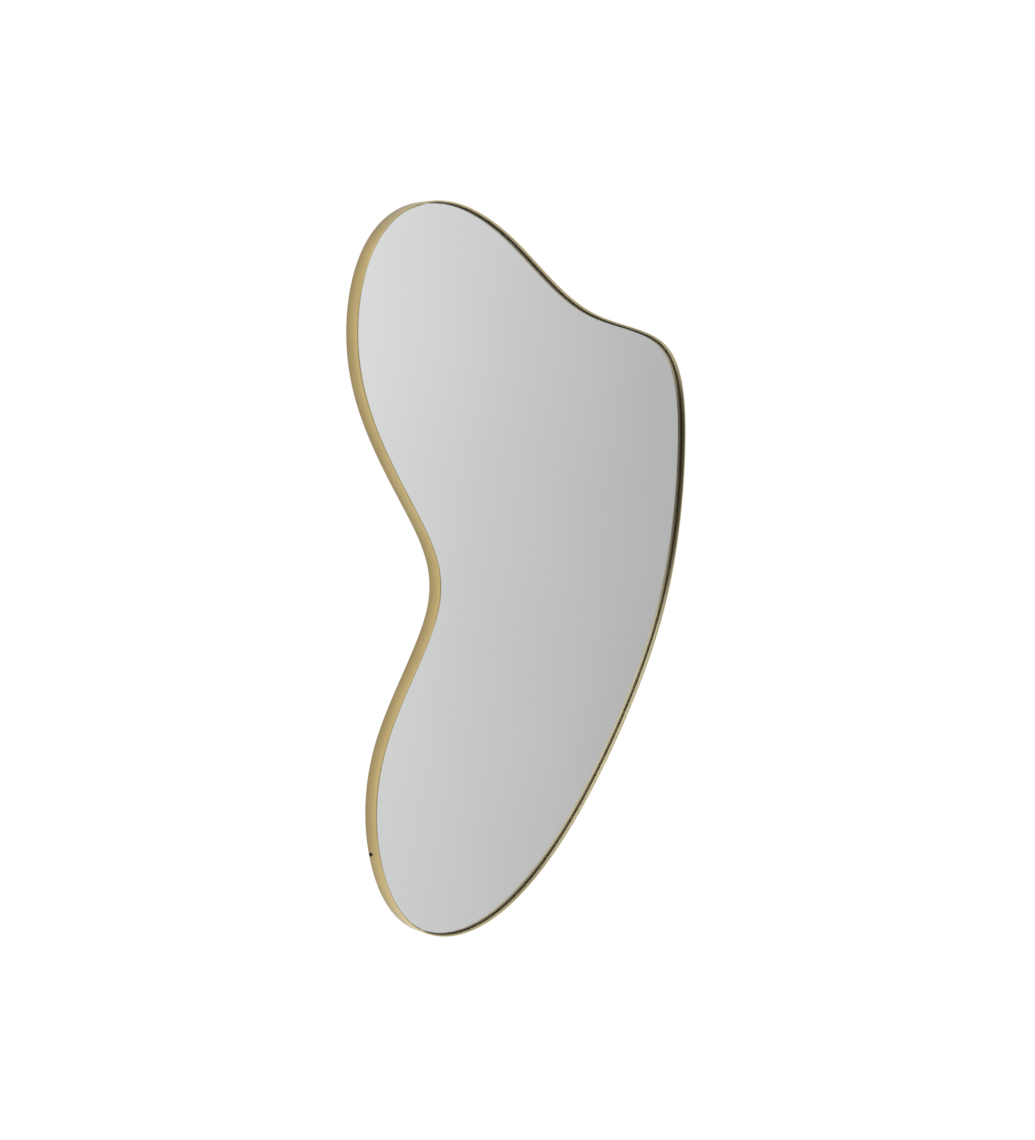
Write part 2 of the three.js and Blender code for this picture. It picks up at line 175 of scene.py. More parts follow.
def new_material(name: str) -> tuple[Material, NodeTree]:
    """Makes an empty node material.

    Args:
        name: the material's name.

    Returns:
        The material and its tree.
    """
    material = bpy.data.materials.new(name)
    material.use_nodes = True
    material.node_tree.nodes.clear()
    return material, material.node_tree


def finished(material: Material, shader: Node) -> Material:
    """The material, with that shader linked to its output."""
    add_node(material.node_tree, "OutputMaterial", {"Surface": shader})
    return material


# --- finishes ---


@dataclass(frozen=True)
class BrushedBrass:
    """Lacquered brass plate on the steel band, brushed along its length.

    It is satin and pale gold, with fine lighter and darker lines that run with the band. Its colour
    is darker and browner towards the wall, which is painted shade, and paler along the rounded
    front edge, which is a painted highlight.
    """

    name: str = "brushed_brass"
    # painted highlight: the pale colour of the rounded front edge
    edge: str = "#CBBD90"
    front: str = "#D3BD82"
    # painted shade: the colour that the brass is darkened to towards the wall
    rear: str = "#A08E66"
    line: str = "#93804F"
    line_width_mm: float = 0.9  # real brush lines are 0.1 mm wide, too fine to show
    line_length_mm: float = 160.0
    line_share: float = 0.4
    cloud_mm: float = 70.0
    cloud_share: float = 0.3
    roughness: Pair = (0.24, 0.36)
    # front_y and rear_y bound the painted shade, from none at the front edge to full at the wall
    front_y: float = -30 * MM
    rear_y: float = -5 * MM
    painted_edge_highlight: Pair = (0.15 * MM, 0.55 * MM)  # where the painted highlight along the front edge starts to fade, and ends

    def build(self) -> Material:
        """Builds the material.

        Returns:
            A metal whose lines follow the band's own UV map, in metres along and across it.
        """
        material, tree = new_material(self.name)
        along = add_node(tree, "UVMap", uv_map=BAND_UV)
        stretch = (per_mm(self.line_length_mm), per_mm(self.line_width_mm), 1.0)
        lines_at = add_node(tree, "Mapping", {"Vector": along, "Scale": stretch})
        lines = add_node(tree, "TexNoise", {"Vector": lines_at, "Scale": 1.0, "Detail": 3.0})
        place = add_node(tree, "TexCoord").outputs["Object"]
        grain = {"Vector": place, "Scale": per_mm(self.cloud_mm), "Detail": 2.0}
        clouds = add_node(tree, "TexNoise", grain)
        y = add_node(tree, "SeparateXYZ", {"Vector": place}).outputs["Y"]
        # Painted shade: depth runs from 0 at the front edge to 1 at the wall and darkens the colour
        # towards the rear colour.
        span = {"Value": y, "From Min": self.front_y, "From Max": self.rear_y}
        depth = add_node(tree, "MapRange", span)
        share = {0: clouds, 1: self.cloud_share, 2: -self.cloud_share / 2}
        worn = add_node(tree, "Math", share, operation="MULTIPLY_ADD")
        # painted shade plus random clouds: how far the colour goes towards the rear colour
        shade_and_clouds = add_node(tree, "Math", {0: depth, 1: worn}, operation="ADD", use_clamp=True)
        golds = {"Factor": shade_and_clouds, "A": linear(self.front), "B": linear(self.rear)}
        body = add_node(tree, "Mix", golds, data_type="RGBA")
        span = {"Value": lines, "From Min": 0.35, "From Max": 0.75, "To Max": self.line_share}
        lined = add_node(tree, "MapRange", span)
        golds = {"Factor": lined, "A": body, "B": linear(self.line)}
        colour = add_node(tree, "Mix", golds, data_type="RGBA")
        # Painted highlight: the colour turns pale near the front plane, where the rounded edge is.
        start, end = (self.front_y + reach for reach in self.painted_edge_highlight)
        span = {"Value": y, "From Min": start, "From Max": end, "To Min": 1.0, "To Max": 0.0}
        painted_edge_highlight = add_node(tree, "MapRange", span)
        golds = {"Factor": painted_edge_highlight, "A": colour, "B": linear(self.edge)}
        highlighted = add_node(tree, "Mix", golds, data_type="RGBA")
        smooth, rough = self.roughness
        span = {"Value": lines, **NOISE_SPAN, "To Min": smooth, "To Max": rough}
        scratches = {"Height": lines, "Strength": 0.12, "Distance": 0.05 * MM}
        look = {
            "Base Color": highlighted,
            "Metallic": 1.0,
            "Roughness": add_node(tree, "MapRange", span),
            "Anisotropic": 0.5,
            "Tangent": add_node(tree, "Tangent", direction_type="UV_MAP", uv_map=BAND_UV),
            "Normal": add_node(tree, "Bump", scratches),
        }
        return finished(material, add_node(tree, "BsdfPrincipled", look))


@dataclass(frozen=True)
class FloatGlass:
    """Clear float glass, drawn and fire-polished: smooth, with the faintest green."""

    tint: str = "#FEFFFF"
    ior: float = 1.52

    def build(self) -> Material:
        """Builds the clear face of the sheet.

        Returns:
            The material.
        """
        material, tree = new_material("float_glass")
        look = {"Base Color": linear(self.tint), "Roughness": 0.0, "IOR": self.ior}
        clear = {"Transmission Weight": 1.0}
        return finished(material, add_node(tree, "BsdfPrincipled", {**look, **clear}))


@dataclass(frozen=True)
class TwoTone:
    """A surface that wanders between two close colours, such as rubber, foam or silver."""

    name: str
    first: str
    second: str
    grain_mm: float
    roughness: float
    relief: float = 0.3
    detail: float = 3.0
    metallic: float = 0.0
    pattern: str = "TexNoise"

    def build(self) -> Material:
        """Builds the surface: a pattern mixes its colours and gives it relief, if it has any.

        Returns:
            The material.
        """
        material, tree = new_material(self.name)
        place = add_node(tree, "TexCoord").outputs["Object"]
        size = {"Vector": place, "Scale": per_mm(self.grain_mm), "Detail": self.detail}
        grain = add_node(tree, self.pattern, size)
        pair = {"Factor": grain, "A": linear(self.first), "B": linear(self.second)}
        colour = add_node(tree, "Mix", pair, data_type="RGBA")
        look = {"Base Color": colour, "Metallic": self.metallic, "Roughness": self.roughness}
        if self.relief:
            pits = {"Height": grain, "Strength": self.relief, "Distance": 0.1 * MM}
            look["Normal"] = add_node(tree, "Bump", pits)
        return finished(material, add_node(tree, "BsdfPrincipled", look))


@dataclass(frozen=True)
class Fibreboard:
    """Raw medium density fibreboard: matt tan, flecked with short pale and dark fibres."""

    pale: str = "#A68A65"
    deep: str = "#8B7050"
    fleck: str = "#5F4A33"
    cloud_mm: float = 18.0
    cloud_share: float = 0.45
    fibre_mm: float = 2.2  # real fibres are 1 to 3 mm long
    fleck_mm: float = 3.2
    fleck_share: float = 0.4

    def build(self) -> Material:
        """Builds the board: clouds of two tans, fibres at all angles and sparse dark flecks.

        Returns:
            The material.
        """
        material, tree = new_material("fibreboard")
        place = add_node(tree, "TexCoord").outputs["Object"]
        size = {"Vector": place, "Scale": per_mm(self.cloud_mm), "Detail": 4.0}
        clouds = add_node(tree, "TexNoise", size)
        size = {"Vector": place, "Scale": per_mm(self.fibre_mm), "Detail": 4.0, "Distortion": 2.5}
        fibres = add_node(tree, "TexNoise", size)
        cells = add_node(tree, "TexVoronoi", {"Vector": place, "Scale": per_mm(self.fleck_mm)})
        both = {0: clouds, 1: self.cloud_share, 2: fibres}
        share = add_node(tree, "Math", both, operation="MULTIPLY_ADD", use_clamp=True)
        span = {"Value": share, "From Min": 0.52, "From Max": 0.92}
        balance = add_node(tree, "MapRange", span)
        tans = {"Factor": balance, "A": linear(self.pale), "B": linear(self.deep)}
        body = add_node(tree, "Mix", tans, data_type="RGBA")
        span = {"From Min": 0.05, "From Max": 0.2, "To Min": self.fleck_share, "To Max": 0.0}
        specks = add_node(tree, "MapRange", {"Value": cells, **span})
        flecks = {"Factor": specks, "A": body, "B": linear(self.fleck)}
        nap = {"Height": fibres, "Strength": 0.35, "Distance": 0.2 * MM}
        look = {
            "Base Color": add_node(tree, "Mix", flecks, data_type="RGBA"),
            "Roughness": 0.88,
            "Specular IOR Level": 0.25,
            "Normal": add_node(tree, "Bump", nap),
        }
        return finished(material, add_node(tree, "BsdfPrincipled", look))


@dataclass(frozen=True)
class MetalCoat:
    """A plated, dipped or brushed-on coat of metal, cloudy and lightly scratched."""

    name: str
    pale: str
    deep: str
    roughness: Pair
    cloud_mm: float = 5.0
    scratch_mm: float = 0.5
    scratch_length_mm: float = 8.0
    scratch_turn: float = 0.6  # radians round the mirror's depth

    def build(self) -> Material:
        """Builds the coat: clouds in its colour and fine scratches in its gloss.

        Returns:
            The material.
        """
        material, tree = new_material(self.name)
        place = add_node(tree, "TexCoord").outputs["Object"]
        size = {"Vector": place, "Scale": per_mm(self.cloud_mm), "Detail": 3.0}
        clouds = add_node(tree, "TexNoise", size)
        thin = per_mm(self.scratch_mm)
        turned = {"Vector": place, "Rotation": (0.0, self.scratch_turn, 0.0)}
        stretch = {"Scale": (per_mm(self.scratch_length_mm), thin, thin)}
        scratch_at = add_node(tree, "Mapping", {**turned, **stretch})
        marks = {"Vector": scratch_at, "Scale": 1.0, "Detail": 2.0}
        scratches = add_node(tree, "TexNoise", marks)
        pair = {"Factor": clouds, "A": linear(self.pale), "B": linear(self.deep)}
        smooth, rough = self.roughness
        span = {"Value": scratches, **NOISE_SPAN, "To Min": smooth, "To Max": rough}
        nicks = {"Height": scratches, "Strength": 0.1, "Distance": 0.05 * MM}
        look = {
            "Base Color": add_node(tree, "Mix", pair, data_type="RGBA"),
            "Metallic": 1.0,
            "Roughness": add_node(tree, "MapRange", span),
            "Normal": add_node(tree, "Bump", nicks),
        }
        return finished(material, add_node(tree, "BsdfPrincipled", look))


class Finish(Enum):
    """Every finish of the mirror."""

    BRASS = BrushedBrass()
    # Inside the band the brass is a thin flash, and the steel shows through it, paler. Its rear
    # colour is painted shade towards the wall, and its first colour a painted highlight, as on the
    # outer brass.
    THIN_BRASS = BrushedBrass("thin_brass_flash", "#D8CFB2", "#CEC5A6", "#A09777", "#8F8669")
    GLASS = FloatGlass()
    # The ground arris is a matt pale line. Behind it the edge is sealed with a bronze metallic
    # lacquer, seen from inside the glass: a brown line where the studio in front is dark, and
    # golden where it is bright.
    ARRIS = TwoTone("ground_glass", "#C6C8BA", "#A6AA9A", 0.6, 0.6)
    SEALER = MetalCoat("bronze_edge_sealer", "#8C7640", "#6B5828", (0.3, 0.45))
    # The wet-deposited silver behind the glass is a neutral, unblemished mirror.
    SILVER = TwoTone(
        "silvering", "#F2F2F1", "#EDEEEE", 220.0, 0.0, relief=0.0, detail=0.0, metallic=1.0
    )
    BOARD = Fibreboard()
    # Closed-cell mounting foam is matt off-white, pitted by its cells.
    FOAM = TwoTone(
        "foam_tape", "#C9C5BA", "#ECE9E1", 0.8, 0.9, relief=0.5, detail=0.0, pattern="TexVoronoi"
    )
    # Zinc-plated steel is a cool, cloudy grey. The side screws are coloured a dark olive bronze,
    # which is painted shade: they stand in for brass heads in shade.
    ZINC = MetalCoat("zinc_plated_steel", "#C3C6C9", "#A3A6A8", (0.24, 0.42))
    DARK_SCREW = MetalCoat("dark_bronze_steel", "#4A452A", "#2E2B1B", (0.35, 0.55))
    # Moulded rubber is black and dusty.
    RUBBER = TwoTone("bumper_rubber", "#232324", "#3A3A3A", 0.7, 0.7)


Materials = Mapping[Finish, Material]


# --- meshes ---


def full_turn(count: int) -> np.ndarray:
    """Angles of that many points spread evenly round a circle."""
    return np.linspace(0, 2 * math.pi, count, endpoint=False)


def point_grid(*axes: np.ndarray | float) -> np.ndarray:
    """Coordinates broadcast together, as points along a new last axis."""
    return np.stack(np.broadcast_arrays(*axes), -1)


def arc(centre: Pair, radius: float, start: float, end: float, steps: int) -> np.ndarray:
    """Points of an arc in a plane.

    Args:
        centre: the arc's centre.
        radius: its radius.
        start: its first angle, in degrees.
        end: its last angle, in degrees.
        steps: how many steps.

    Returns:
        The points, both ends included.
    """
    angle = np.radians(np.linspace(start, end, steps + 1))
    return np.stack([np.cos(angle), np.sin(angle)], 1) * radius + centre


def reached(line: np.ndarray) -> np.ndarray:
    """The length of a line up to each of its points."""
    steps = np.linalg.norm(np.diff(line, axis=0), axis=1)
    return np.concatenate([[0.0], np.cumsum(steps)])


def grid_faces(rows: int, columns: int, wrap_rows: bool, wrap_columns: bool) -> np.ndarray:
    """Quads between the points of a grid, which are numbered row by row.

    Args:
        rows: how many rows of points.
        columns: how many points in a row.
        wrap_rows: join the last row to the first.
        wrap_columns: join the last column to the first.

    Returns:
        Four point numbers for each quad.
    """
    i, j = np.meshgrid(
        np.arange(rows if wrap_rows else rows - 1),
        np.arange(columns if wrap_columns else columns - 1),
        indexing="ij",
    )
    below, beside = (i + 1) % rows, (j + 1) % columns
    corners = [(i, j), (below, j), (below, beside), (i, beside)]
    return np.stack([a * columns + b for a, b in corners], -1).reshape(-1, 4)


def signed_volume(points: np.ndarray, faces: Sequence[np.ndarray]) -> float:
    """Six times the volume inside a closed mesh, positive if its faces point outwards.

    Each face is a fan of triangles from its first corner, and each triangle counts as the
    determinant of its three corners.

    Args:
        points: the mesh's points.
        faces: arrays of faces, each array with one count of corners.

    Returns:
        The signed sum.
    """
    total = 0.0
    for group in faces:
        corners = points[group]
        first = np.broadcast_to(corners[:, :1], corners[:, 2:].shape)
        total += float((first * np.cross(corners[:, 1:-1], corners[:, 2:])).sum())
    return total


@dataclass
class Shell:
    """A mesh in the making: points, and groups of faces with a material each."""

    points: np.ndarray
    faces: list[np.ndarray]
    slots: list[int] = field(default_factory=list)
    uvs: list[np.ndarray] | None = None

    def build(
        self, name: str, materials: Sequence[Material], sharp_deg: float = 35.0
    ) -> Object:
        """Turns the faces outwards and makes the object.

        Args:
            name: the object's name.
            materials: the materials that slots number.
            sharp_deg: edges that turn more than this look sharp.

        Returns:
            The object, in the scene, at the origin.
        """
        faces, uvs = self.faces, self.uvs
        if signed_volume(self.points, faces) < 0:
            faces = [group[:, ::-1] for group in faces]
            uvs = None if uvs is None else [group[:, ::-1] for group in uvs]
        mesh = bpy.data.meshes.new(name)
        rows = [row for group in faces for row in group.tolist()]
        mesh.from_pydata(self.points.tolist(), [], rows)
        for material in materials:
            mesh.materials.append(material)
        slots = self.slots or [0] * len(faces)
        numbers = np.repeat(slots, [len(group) for group in faces]).astype(np.int32)
        mesh.polygons.foreach_set("material_index", numbers)
        mesh.polygons.foreach_set("use_smooth", np.ones(len(rows), bool))
        if uvs is not None:
            layer = mesh.uv_layers.new(name=BAND_UV)
            corners = np.concatenate([group.reshape(-1, 2) for group in uvs])
            layer.data.foreach_set("uv", corners.astype(np.float32).ravel())
        mesh.set_sharp_from_angle(angle=math.radians(sharp_deg))
        mesh.validate()
        piece = bpy.data.objects.new(name, mesh)
        bpy.context.scene.collection.objects.link(piece)
        return piece


def capped(rings: np.ndarray) -> Shell:
    """Closes rings of points into a shell.

    Args:
        rings: a grid of points: rings, points round each, xyz.

    Returns:
        Quads from each ring to the next, and a flat face over the first ring and the last.
    """
    count, around = rings.shape[:2]
    number = np.arange(count * around).reshape(count, around)
    faces = [grid_faces(count, around, False, True), number[None, 0, ::-1], number[None, -1]]
    return Shell(rings.reshape(-1, 3), faces)


def stand_for(piece: Object, node: str, body: Body, slot: Slot) -> None:
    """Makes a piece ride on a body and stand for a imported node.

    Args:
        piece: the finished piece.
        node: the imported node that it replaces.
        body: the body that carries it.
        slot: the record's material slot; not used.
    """
    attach(piece, body.value)
    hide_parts(node)
    LOG.info("%s stands for %s: %d faces", piece.name, node, len(piece.data.polygons))


def dress(node: Object, material: Material) -> None:
    """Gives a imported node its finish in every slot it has.

    Args:
        node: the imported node's object.
        material: the finish.
    """
    if not node.data.materials:
        node.data.materials.append(material)
    for place in node.material_slots:
        place.material = material
    LOG.info("%s wears %s", node.name, material.name)


# --- outline ---


@dataclass(frozen=True)
class Outline:
    """The mirror's closed outline, seen from the front, as x and z in metres.

    It is a uniform cubic B-spline along the control polygon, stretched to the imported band's box.
    Places on it are shares of the way round, clockwise from the curve's start.
    """

    low: Pair
    high: Pair
    polygon: tuple[Pair, ...] = (
        (-220, 590), (-55, 535), (110, 390), (365, 395), (390, 190), (355, -60), (250, -255),
        (75, -470), (-105, -580), (-265, -565), (-355, -445), (-365, -235), (-180, -30),
        (-265, 105), (-400, 300), (-365, 515),
    )
    fine: int = 8192

    def drawn(self, t: np.ndarray) -> tuple[np.ndarray, np.ndarray]:
        """Points and directions of the spline as drawn.

        The point is the sum of the four nearest control points, weighted by the cubic B-spline
        basis of t's share of its span, and the direction is that sum's slope.

        Args:
            t: places along the curve, counted in control points.

        Returns:
            Points and directions, one row for each t.
        """
        control = np.array(self.polygon, float)
        span = np.floor(t).astype(int)
        u = (t - span)[:, None]
        near = control[(span[:, None] + np.arange(-1, 3)) % len(control)]
        weights = np.stack(
            [(1 - u) ** 3, 3 * u**3 - 6 * u**2 + 4, -3 * u**3 + 3 * u**2 + 3 * u + 1, u**3], 1
        )
        slopes = np.stack([-((1 - u) ** 2), 3 * u**2 - 4 * u, -3 * u**2 + 2 * u + 1, u**2], 1)
        return (near * weights).sum(1) / 6, (near * slopes).sum(1) / 2

    def placed(self, t: np.ndarray) -> tuple[np.ndarray, np.ndarray]:
        """Points and outward normals of the stretched outline.

        Args:
            t: places along the curve, counted in control points.

        Returns:
            Points and unit normals, one row for each t.
        """
        whole, _ = self.drawn(np.arange(self.fine) / self.fine * len(self.polygon))
        drawn_low, drawn_high = whole.min(0), whole.max(0)
        scale = (np.array(self.high) - self.low) / (drawn_high - drawn_low)
        point, direction = self.drawn(t)
        along = direction * scale
        along /= np.linalg.norm(along, axis=1, keepdims=True)
        outward = np.stack([-along[:, 1], along[:, 0]], 1)
        return (point - drawn_low) * scale + self.low, outward

    def lengths(self) -> tuple[np.ndarray, np.ndarray]:
        """Measures the outline.

        Returns:
            Places t all round the curve, and the length of outline up to each.
        """
        t = np.linspace(0, len(self.polygon), self.fine + 1)
        return t, reached(self.placed(t)[0])

    def perimeter(self) -> float:
        """The outline's length in metres."""
        return float(self.lengths()[1][-1])

    def at(self, shares: np.ndarray) -> tuple[np.ndarray, np.ndarray]:
        """Points and outward normals at shares of the way round.

        Args:
            shares: 0 to 1 clockwise from the curve's start; other values go round again.

        Returns:
            Points and unit normals, one row for each share.
        """
        t, length = self.lengths()
        return self.placed(np.interp(np.mod(shares, 1.0) * length[-1], length, t))

    def sweep(self, shares: np.ndarray, profile: np.ndarray) -> np.ndarray:
        """A profile carried along the outline.

        Each profile point is an inset and a y. It follows the outline at that inset, measured
        along the inward normal, and in its own plane of y.

        Args:
            shares: places along the outline, the grid's rows.
            profile: insets and y, the grid's columns.

        Returns:
            A grid of points: rows, columns, xyz.
        """
        base, outward = self.at(shares)
        plan = base[:, None] - outward[:, None] * profile[None, :, :1]
        return point_grid(plan[..., 0], profile[:, 1], plan[..., 1])


# --- band ---


@dataclass(frozen=True)
class Band:
    """The brass band: one strip of metal bent to the outline, its front edge drawn round."""

    outline: Outline
    wall: float = 2.5 * MM
    front_radius: float = 1.2 * MM
    rear_radius: float = 0.3 * MM
    corner_steps: int = 7
    guard: float = 0.3 * MM
    rows: int = 1024
    joint_share: float = 0.565  # under the foot, where the strip's two ends are welded

    def section(self, front: float, rear: float) -> np.ndarray:
        """The band's closed section, as inset and y.

        Each corner is a quarter circle in equal steps. Beyond the ends of the quarter circles one
        more point lies on each long side, a guard's length on, so that flat sides look flat.

        Args:
            front: y of the front edge.
            rear: y of the rear edge.

        Returns:
            Points in order round the section.
        """
        far, near = self.front_radius, self.rear_radius
        corners = (
            ((far, front + far), far, 180),
            ((self.wall - far, front + far), far, 270),
            ((self.wall - near, rear - near), near, 0),
            ((near, rear - near), near, 90),
        )
        arcs = [arc(middle, r, turn, turn + 90, self.corner_steps) for middle, r, turn in corners]
        fore, aft = front + far + self.guard, rear - near - self.guard
        inner = [(self.wall, fore), (self.wall, aft)]
        return np.concatenate([[(0.0, fore)], *arcs[:2], inner, *arcs[2:], [(0.0, aft)]])

    def build(self, materials: Materials) -> None:
        """Sweeps the section round the outline, with a UV map of metres along and round it.

        Args:
            materials: the finishes.
        """
        low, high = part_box("rim_band")
        section = self.section(low.y, high.y)
        count = len(section)
        shares = self.joint_share + np.arange(self.rows) / self.rows
        grid = self.outline.sweep(shares, section)
        across = reached(np.concatenate([section, section[:1]]))
        along = np.linspace(0, self.outline.perimeter(), self.rows + 1)
        i, j = np.meshgrid(np.arange(self.rows), np.arange(count), indexing="ij")
        corners = [(i, j), (i + 1, j), (i + 1, j + 1), (i, j + 1)]
        uvs = np.stack([np.stack([along[a], across[b]], -1) for a, b in corners], 2)
        faces = grid_faces(self.rows, count, True, True).reshape(self.rows, count, 4)
        inner = slice(2 * self.corner_steps + 2, 2 * self.corner_steps + 5)
        parts = (np.delete(np.arange(count), inner), np.arange(count)[inner])
        shell = Shell(
            grid.reshape(-1, 3),
            [faces[:, part].reshape(-1, 4) for part in parts],
            slots=[0, 1],
            uvs=[uvs[:, part].reshape(-1, 4, 2) for part in parts],
        )
        finishes = [materials[Finish.BRASS], materials[Finish.THIN_BRASS]]
        piece = shell.build("brass_band", finishes, sharp_deg=60.0)
        stand_for(piece, "rim_band", Body.MIRROR, Slot.BRASS)


# --- glass ---


@dataclass(frozen=True)
class MirrorSheet:
    """The silvered glass sheet, with a ground edge and a small flat along both of its corners."""

    outline: Outline
    arris: float = 0.4 * MM
    rows: int = 1024

    def build(self, materials: Materials) -> None:
        """Builds the sheet as one closed shell.

        Four rings follow the outline: the clear face's rim, both rims of the ground edge and the
        silvered back's rim. Quads join each to the next, and a flat face closes each end.

        Args:
            materials: the finishes.
        """
        low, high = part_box("mirror_glass")
        edge = low.x - self.outline.low[0]
        insets = (edge + self.arris, edge, edge, edge + self.arris)
        depths = (low.y, low.y + self.arris, high.y - self.arris, high.y)
        profile = np.stack([insets, depths], 1)
        grid = self.outline.sweep(np.arange(self.rows) / self.rows, profile)
        rings = np.arange(self.rows * 4).reshape(self.rows, 4)
        strips = grid_faces(self.rows, 4, True, False).reshape(self.rows, 3, 4)
        edges = [strips[:, 0], strips[:, 1:].reshape(-1, 4)]
        faces = [rings[None, ::-1, 0], *edges, rings[None, :, 3]]
        wears = (Finish.GLASS, Finish.ARRIS, Finish.SEALER, Finish.SILVER)
        finishes = [materials[finish] for finish in wears]
        shell = Shell(grid.reshape(-1, 3), faces, slots=[0, 1, 2, 3])
        piece = shell.build("silvered_glass", finishes)
        stand_for(piece, "mirror_glass", Body.MIRROR, Slot.GLASS)


# --- screws ---


@dataclass(frozen=True)
class PanHeadScrew:
    """A pan head screw with a cross recess and a coarse thread, pointing along its axis."""

    shank: float = 3.0 * MM
    core: float = 2.2 * MM
    pitch: float = 1.35 * MM
    ridge_share: float = 0.28  # half of the ridge's foot, as a share of the pitch
    point: float = 3.0 * MM
    tip_share: float = 0.995  # of the length, where the last ring lies
    head: float = 6.0 * MM
    head_height: float = 1.8 * MM
    head_edge: float = 0.5 * MM
    recess_reach: float = 1.7 * MM
    recess_width: float = 0.8 * MM
    recess_depth: float = 1.0 * MM
    recess_fade: float = 0.15 * MM
    recess_rings: tuple[float, float, int] = (0.02, 0.75, 14)  # shares of the radius, and count
    rim_rings: tuple[float, float, int] = (0.8, 1.0, 7)
    shank_rows: int = 72
    around: int = 48

    def recess_arm(self, across: np.ndarray, reach: np.ndarray) -> np.ndarray:
        """How deep one arm of the cross is.

        Args:
            across: distance from the arm's middle line.
            reach: distance along that line from the screw's axis.

        Returns:
            0 to 1, fading straight over the arm's side and over its end.
        """
        fade = self.recess_fade
        side = np.clip((self.recess_width / 2 + fade - np.abs(across)) / (2 * fade), 0, 1)
        end = np.clip((self.recess_reach + fade - np.abs(reach)) / (4 * fade), 0, 1)
        return side * end

    def head_rings(self) -> np.ndarray:
        """The head as a height over a disc.

        Radius r runs from near 0 to the head's own radius. Height is a quarter ellipse over the
        edge's band, less the cross: the recess depth where either arm is.

        Returns:
            A grid of points: rings from the middle outwards, points round each, xyz with z up the
            screw's axis from the head's underside.
        """
        share = np.concatenate([np.linspace(*self.recess_rings), np.linspace(*self.rim_rings)])
        r = self.head / 2 * share[:, None]
        angle = full_turn(self.around)[None, :]
        x, y = r * np.cos(angle), r * np.sin(angle)
        dome = (self.head_height - self.head_edge) * np.sqrt(1 - share**2)
        cross = np.maximum(self.recess_arm(x, y), self.recess_arm(y, x))
        return point_grid(x, y, self.head_edge + dome[:, None] - self.recess_depth * cross)

    def shank_rings(self, length: float) -> np.ndarray:
        """The threaded shank, a surface of revolution with a helical ridge.

        Radius is the core's, plus the ridge where the turn and the depth agree: a triangle wave
        of depth over pitch less the share of a turn. All of it narrows to nothing at the point.

        Args:
            length: from the head's underside to the tip.

        Returns:
            A grid of points: rings from the head down, points round each, xyz.
        """
        depth = np.linspace(0, length * self.tip_share, self.shank_rows)[:, None]
        turn = np.linspace(0, 1, self.around, endpoint=False)[None, :]
        phase = np.mod(depth / self.pitch - turn, 1.0)
        ridge = np.clip(1 - np.abs(phase - 0.5) / self.ridge_share, 0, 1)
        taper = np.clip((length - depth) / self.point, 0, 1)
        thick = (self.core / 2 + (self.shank - self.core) / 2 * ridge) * taper
        angle = 2 * math.pi * turn
        return point_grid(thick * np.cos(angle), thick * np.sin(angle), -depth)

    def build(
        self, name: str, seat: np.ndarray, axis: np.ndarray, length: float, material: Material
    ) -> Object:
        """Builds the screw in its place.

        Args:
            name: the piece's name.
            seat: the middle of the head's underside.
            axis: unit direction from the tip to the head.
            length: from the head's underside to the tip.
            material: its finish.

        Returns:
            The screw.
        """
        rings = np.concatenate([self.head_rings(), self.shank_rings(length)])
        side = np.cross(axis, (0.0, 0.0, 1.0))
        side /= np.linalg.norm(side)
        basis = np.stack([side, np.cross(axis, side), axis])
        return capped(rings @ basis + seat).build(name, [material], sharp_deg=40.0)


@dataclass(frozen=True)
class BackScrews:
    """The screws of the clips and hangers, driven from the back into the board."""

    screw: PanHeadScrew = PanHeadScrew()
    names: tuple[str, ...] = (
        *(f"rim_clip_screw_{i}" for i in range(1, 7)),
        *(f"hanger_screw_{s.value}_{p}" for s in Side for p in ("upper", "lower")),
    )

    def build(self, materials: Materials) -> None:
        """Builds each screw on its node's axis.

        Args:
            materials: the finishes.
        """
        axis = np.array([0.0, 1.0, 0.0])
        for name in self.names:
            low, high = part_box(name)
            under_head = high.y - self.screw.head_height
            seat = np.array([(low.x + high.x) / 2, under_head, (low.z + high.z) / 2])
            length = float(under_head - low.y)
            piece = self.screw.build(f"{name}_threaded", seat, axis, length, materials[Finish.ZINC])
            stand_for(piece, name, Body.MIRROR, Slot.ZINC)


@dataclass(frozen=True)
class SideScrews:
    """The two screws through the band's side into the board's edge, coloured dark as painted shade.
    """

    outline: Outline
    shares: tuple[tuple[Side, float], ...] = ((Side.LEFT, 0.6445), (Side.RIGHT, 0.2463))
    seat_gap: float = 0.3 * MM
    length: float = 20 * MM
    screw: PanHeadScrew = PanHeadScrew()

    def build(self, materials: Materials) -> None:
        """Builds both screws, square to the band.

        Args:
            materials: the finishes.
        """
        for side, share in self.shares:
            name = f"rim_screw_{side.value}"
            low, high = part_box(name)
            points, normals = self.outline.at(np.array([share]))
            (out_x, out_z), (x, z) = normals[0], points[0] + normals[0] * self.seat_gap
            piece = self.screw.build(
                f"{name}_threaded",
                np.array([x, (low.y + high.y) / 2, z]),
                np.array([out_x, 0.0, out_z]),
                self.length,
                # painted shade: the screw heads are coloured dark
                materials[Finish.DARK_SCREW],
            )
            stand_for(piece, name, Body.MIRROR, Slot.DARK_SCREW)


# --- bent sheets ---


